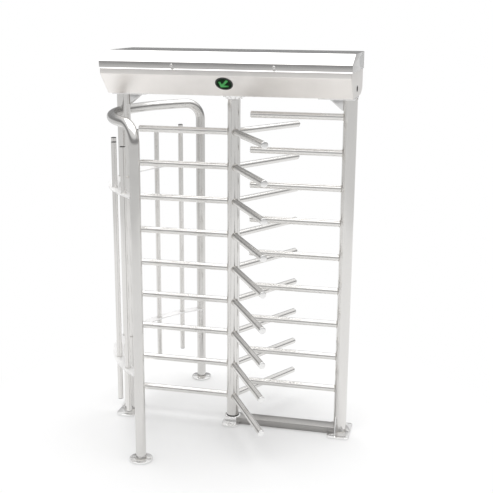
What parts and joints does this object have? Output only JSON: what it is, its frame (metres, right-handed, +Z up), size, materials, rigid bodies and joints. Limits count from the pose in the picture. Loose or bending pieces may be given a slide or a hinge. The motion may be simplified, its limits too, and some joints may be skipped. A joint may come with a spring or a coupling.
{
  "type": "full-height turnstile",
  "caption": "Full-height rotor turnstile with three arm wings, a fixed comb, a curved rod cage and an overhead canopy holding lock, damper and counter.",
  "frame": {"origin": "on the floor, at the rotor axis, in the middle of the rotor foot plate", "axes": "+Z up along the rotor axis; +X along the canopy towards the comb post; +Y away from the side the indicator faces"},
  "size_m": [1.444, 1.3744, 2.22],
  "materials": {
    "satin_tube": "satin brushed stainless steel tube",
    "polished_fitting": "fine satin stainless steel plate",
    "canopy_sheet": "satin stainless steel sheet",
    "lid_sheet": "satin stainless steel sheet",
    "black_plastic": "black moulded plastic",
    "black_rubber": "black rubber",
    "bezel": "dark plastic ring",
    "lens": "smoked green lens",
    "chassis": "zinc grey folded plate",
    "zinc": "bright zinc",
    "gear_brass": "machined",
    "lock_steel": "blackened steel",
    "pawl_steel": "hardened steel",
    "coil": "moulded coil body",
    "sensor": "blue sensor barrel",
    "box": "powder coated grey"
  },
  "bodies": {
    "frame": {"post_left": "satin_tube", "post_right": "satin_tube", "hoop_tube": "satin_tube", "base_beam": "satin_tube", "cage_rod_1": "satin_tube", "cage_rod_2": "satin_tube", "cage_rod_3": "satin_tube", "cage_rod_4": "satin_tube", "cage_rod_5": "satin_tube", "cage_rod_6": "satin_tube", "comb_bar_1": "satin_tube", "comb_bar_2": "satin_tube", "comb_bar_3": "satin_tube", "comb_bar_4": "satin_tube", "comb_bar_5": "satin_tube", "comb_bar_6": "satin_tube", "comb_bar_7": "satin_tube", "comb_bar_8": "satin_tube", "comb_bar_9": "satin_tube", "base_plate_left": "polished_fitting", "base_plate_right": "polished_fitting", "foot_plate": "polished_fitting", "hoop_flanges": "polished_fitting", "band_lower": "polished_fitting", "band_upper": "polished_fitting", "head_plate_left": "polished_fitting", "head_plate_right": "polished_fitting", "post_gussets": "polished_fitting", "foot_bearing": "polished_fitting", "head_bearing": "polished_fitting", "comb_caps": "polished_fitting", "canopy_trough": "canopy_sheet", "canopy_ends": "canopy_sheet", "cable_grommet": "black_rubber", "rod_caps": "black_plastic", "indicator_bezel": "bezel", "indicator_lens": "lens", "column_seal": "black_rubber", "chassis_beam": "chassis", "chassis_bolts": "zinc", "lid_hinges": "zinc", "damper_body": "lock_steel", "lock_solenoids": "coil", "count_sensor": "sensor", "control_box": "box"},
    "rotor": {"rotor_column": "satin_tube", "wing_left": "satin_tube", "wing_front": "satin_tube", "wing_rear": "satin_tube", "arm_caps": "polished_fitting", "rotor_shaft": "pawl_steel", "drive_gear": "gear_brass", "lock_wheel": "lock_steel"},
    "lid": {"lid": "lid_sheet", "lid_screws": "zinc"},
    "pawl_entry": {"pawl_entry": "pawl_steel"},
    "pawl_exit": {"pawl_exit": "pawl_steel"},
    "plunger_entry": {"plunger_entry": "zinc"},
    "plunger_exit": {"plunger_exit": "zinc"},
    "damper_pinion": {"damper_pinion": "pawl_steel"}
  },
  "joints": [
    {"name": "rotor_spin", "type": "hinge", "parent": "frame", "child": "rotor", "pos_m": [0, 0, 0], "axis": [0, 0, 1], "continuous": true},
    {"name": "damper_spin", "type": "hinge", "parent": "frame", "child": "damper_pinion", "pos_m": [0.08, 0, 2.046], "axis": [0, 0, 1], "continuous": true},
    {"name": "lid_open", "type": "hinge", "parent": "frame", "child": "lid", "pos_m": [0, 0.2825, 2.126], "axis": [-1, 0, 0], "range_deg": [0, 75]},
    {"name": "pawl_entry_swing", "type": "hinge", "parent": "frame", "child": "pawl_entry", "pos_m": [-0.04294, 0.10562, 2.068], "axis": [0, 0, 1], "range_deg": [0, 8], "stiffness_Nm_per_rad": 0.05},
    {"name": "plunger_entry_slide", "type": "slide", "parent": "frame", "child": "plunger_entry", "axis": [0.866, -0.5, 0], "range_m": [0, 0.005]},
    {"name": "pawl_exit_swing", "type": "hinge", "parent": "frame", "child": "pawl_exit", "pos_m": [-0.04294, -0.10562, 2.068], "axis": [0, 0, -1], "range_deg": [0, 8], "stiffness_Nm_per_rad": 0.05},
    {"name": "plunger_exit_slide", "type": "slide", "parent": "frame", "child": "plunger_exit", "axis": [0.866, 0.5, 0], "range_m": [0, 0.005]}
  ],
  "couplings": [
    {"joint": "damper_spin", "follows": "rotor_spin", "ratio": -3},
    {"joint": "plunger_entry_slide", "follows": "pawl_entry_swing", "m_per_rad": 0.035},
    {"joint": "plunger_exit_slide", "follows": "pawl_exit_swing", "m_per_rad": 0.035}
  ]
}
